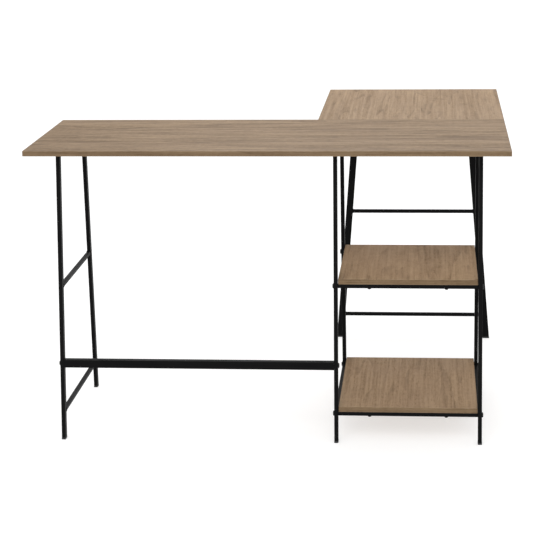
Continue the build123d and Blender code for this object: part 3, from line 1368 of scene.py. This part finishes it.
# ---------------------------------------------------------------- the desk
@dataclass(frozen=True)
class Desk:
    """The whole desk, from its tops down to its feet."""

    tops: tuple[EdgedBoard, ...] = (
        EdgedBoard("main_top", Grain.ALONG_MAIN_TOP, (0.0, 0.0, 0.0), 1.7, 0.98),
        # the return top's lift is painted light: it is made lighter than the main top, as it is lit in
        # the photo
        EdgedBoard("return_top", Grain.ALONG_RETURN, (0.83, 0.46, 0.0), 1.0, 1.13),
    )
    frames: tuple[EndFrame, ...] = (
        EndFrame("left_frame", ("upper", "lower"), 0),
        EndFrame("shelf_left_frame", ("lower",), 100),
        EndFrame("shelf_right_frame", ("lower",), 200),
        EndFrame("return_frame", ("upper", "lower"), 300),
    )
    shelves: tuple[Shelf, ...] = (
        # the shelves' lifts are painted light, for the light that the main top above them keeps off
        Shelf("upper_shelf", (0.37, 0.21, 0.0), 1.6),
        Shelf("lower_shelf", (1.13, -0.34, 0.0), 1.33),
    )
    stretcher: Stretcher = Stretcher()
    finishes: Finishes = field(default_factory=Finishes)

    def build_tops(self) -> None:
        """The main top and the return top, and the plates that join them."""
        for top in self.tops:
            top.build()
        plates = [f"seam_plate_{end}" for end in ("inner", "middle", "outer")]
        dress(self.finishes.steel, *plates, "seam_plate_screws")

    def build_frames(self) -> None:
        """The four welded frames and the plugs in their top bars."""
        plugs = Piece("top_bar_moulded_plugs", Slot.PLASTIC, ("top_bar_end_plugs",))
        for end_frame in self.frames:
            end_frame.build(self.finishes)
            plugs.patches += end_frame.end_plugs()
        plugs.build(self.finishes.plastic)

    def build_between(self) -> None:
        """The stretcher and the shelves, bolted between the frames."""
        self.stretcher.build(self.finishes)
        for shelf in self.shelves:
            shelf.build(self.finishes, self.stretcher.grip())

    def build(self) -> None:
        """Builds the desk's sub-assemblies in order."""
        self.build_tops()
        self.build_frames()
        self.build_between()


# ---------------------------------------------------------------- studio
@dataclass(frozen=True)
class Studio:
    """A pale floor, soft lights and the camera.

    horizon and zenith are how strongly the surround lights the desk from there. The camera's yaw,
    pitch and roll are in radians, and its lens and sensor in millimetres. The fill lamp's angles are
    in degrees: its azimuth is counted from +X towards +Y.
    """

    floor_size: float = 60.0
    horizon: float = 1.40
    zenith: float = 0.58
    box_power: float = 13.5
    box_size: float = 1.6
    box_place: Triple = (0.2, 0.95, 2.0)
    box_aim: Triple = (0.2, 0.25, 0.75)
    fill_strength: float = 1.8
    fill_azimuth: float = -95
    fill_elevation: float = 30
    fill_width: float = 50
    eye: Triple = (0.40751, -4.79988, 1.49167)
    yaw: float = 0.08236
    pitch: float = 0.19183
    roll: float = 0.01418
    lens: float = 120.2
    sensor: float = 36.0
    far: float = 200.0
    shift: tuple[float, float] = (-0.04, -0.15)

    def put(self, name: str, data: bpy.types.ID) -> bpy.types.Object:
        """Links a new object to the scene.

        Args:
            name: the object's name.
            data: the mesh, light or camera that it holds.

        Returns:
            The object.
        """
        made = bpy.data.objects.new(name, data)
        bpy.context.scene.collection.objects.link(made)
        return made

    def build_floor(self) -> None:
        """A wide pale floor that the feet stand on."""
        half = self.floor_size / 2
        mesh = bpy.data.meshes.new("studio_floor")
        corners = half * np.array([[-1, -1, 0], [1, -1, 0], [1, 1, 0], [-1, 1, 0]])
        mesh.from_pydata(corners.tolist(), [], [(0, 1, 2, 3)])
        mesh.materials.append(StudioFloor().material())
        floor = self.put("studio_floor", mesh)

    def build_sky(self) -> None:
        """A surround that the camera sees as even white, and that lights most from the horizon."""
        world = bpy.data.worlds.new("studio_sky")
        bpy.context.scene.world = world
        world.use_nodes = True
        sky = Nodes(world.node_tree)
        direction = sky.node("ShaderNodeTexCoord").outputs["Generated"]
        height = sky.node("ShaderNodeSeparateXYZ", {0: direction}).outputs["Z"]
        levels = {"Value": height, "To Min": self.horizon, "To Max": self.zenith}
        level = sky.node("ShaderNodeMapRange", levels).outputs["Result"]
        seen = sky.node("ShaderNodeLightPath").outputs["Is Camera Ray"]
        strength = sky.node("ShaderNodeMix", {0: seen, 2: level, 3: 1.0}).outputs[0]
        glow = sky.node("ShaderNodeBackground", {"Color": shade(255, 255, 255), "Strength": strength})
        sky.node("ShaderNodeOutputWorld", {"Surface": glow.outputs["Background"]})

    def build_softbox(self) -> None:
        """A square softbox above the desk's far side."""
        lamp = bpy.data.lights.new("back_softbox", "AREA")
        lamp.energy = self.box_power
        lamp.size = self.box_size
        made = self.put("back_softbox", lamp)
        made.location = self.box_place
        facing = Vector(self.box_aim) - Vector(self.box_place)
        made.rotation_euler = facing.to_track_quat("-Z", "Y").to_euler()

    def build_fill(self) -> None:
        """A soft lamp far away in front, as wide as a big softbox."""
        lamp = bpy.data.lights.new("front_fill", "SUN")
        lamp.energy = self.fill_strength
        lamp.angle = math.radians(self.fill_width)
        made = self.put("front_fill", lamp)
        tilt = math.radians(90 - self.fill_elevation)
        made.rotation_euler = (0, tilt, math.radians(self.fill_azimuth))

    def build_camera(self) -> None:
        """The camera, turned by its yaw, its pitch below the horizon and its roll."""
        level = math.cos(self.pitch)
        right = np.array([math.cos(self.yaw), math.sin(self.yaw), 0.0])
        ahead = np.array(
            [-math.sin(self.yaw) * level, math.cos(self.yaw) * level, -math.sin(self.pitch)]
        )
        down = np.cross(ahead, right)
        turned_right = right * math.cos(self.roll) + down * math.sin(self.roll)
        turned_up = right * math.sin(self.roll) - down * math.cos(self.roll)
        place = np.eye(4)
        place[:3] = np.stack([turned_right, turned_up, -ahead, np.array(self.eye)], axis=-1)
        camera = bpy.data.cameras.new("camera")
        camera.sensor_width = self.sensor
        camera.lens = self.lens
        camera.shift_x, camera.shift_y = self.shift
        camera.clip_end = self.far
        made = self.put("camera", camera)
        made.matrix_world = Matrix(place.tolist())
        bpy.context.scene.camera = made

    def build(self) -> None:
        """Builds the floor, the lights and the camera."""
        bpy.context.scene.view_settings.view_transform = "Standard"
        self.build_floor()
        self.build_sky()
        self.build_softbox()
        self.build_fill()
        self.build_camera()


def main() -> None:
    """Builds the desk and its studio."""
    logging.basicConfig(level=logging.INFO, format="%(name)s: %(message)s")
    Desk().build()
    Studio().build()


if __name__ == "__main__":
    main()
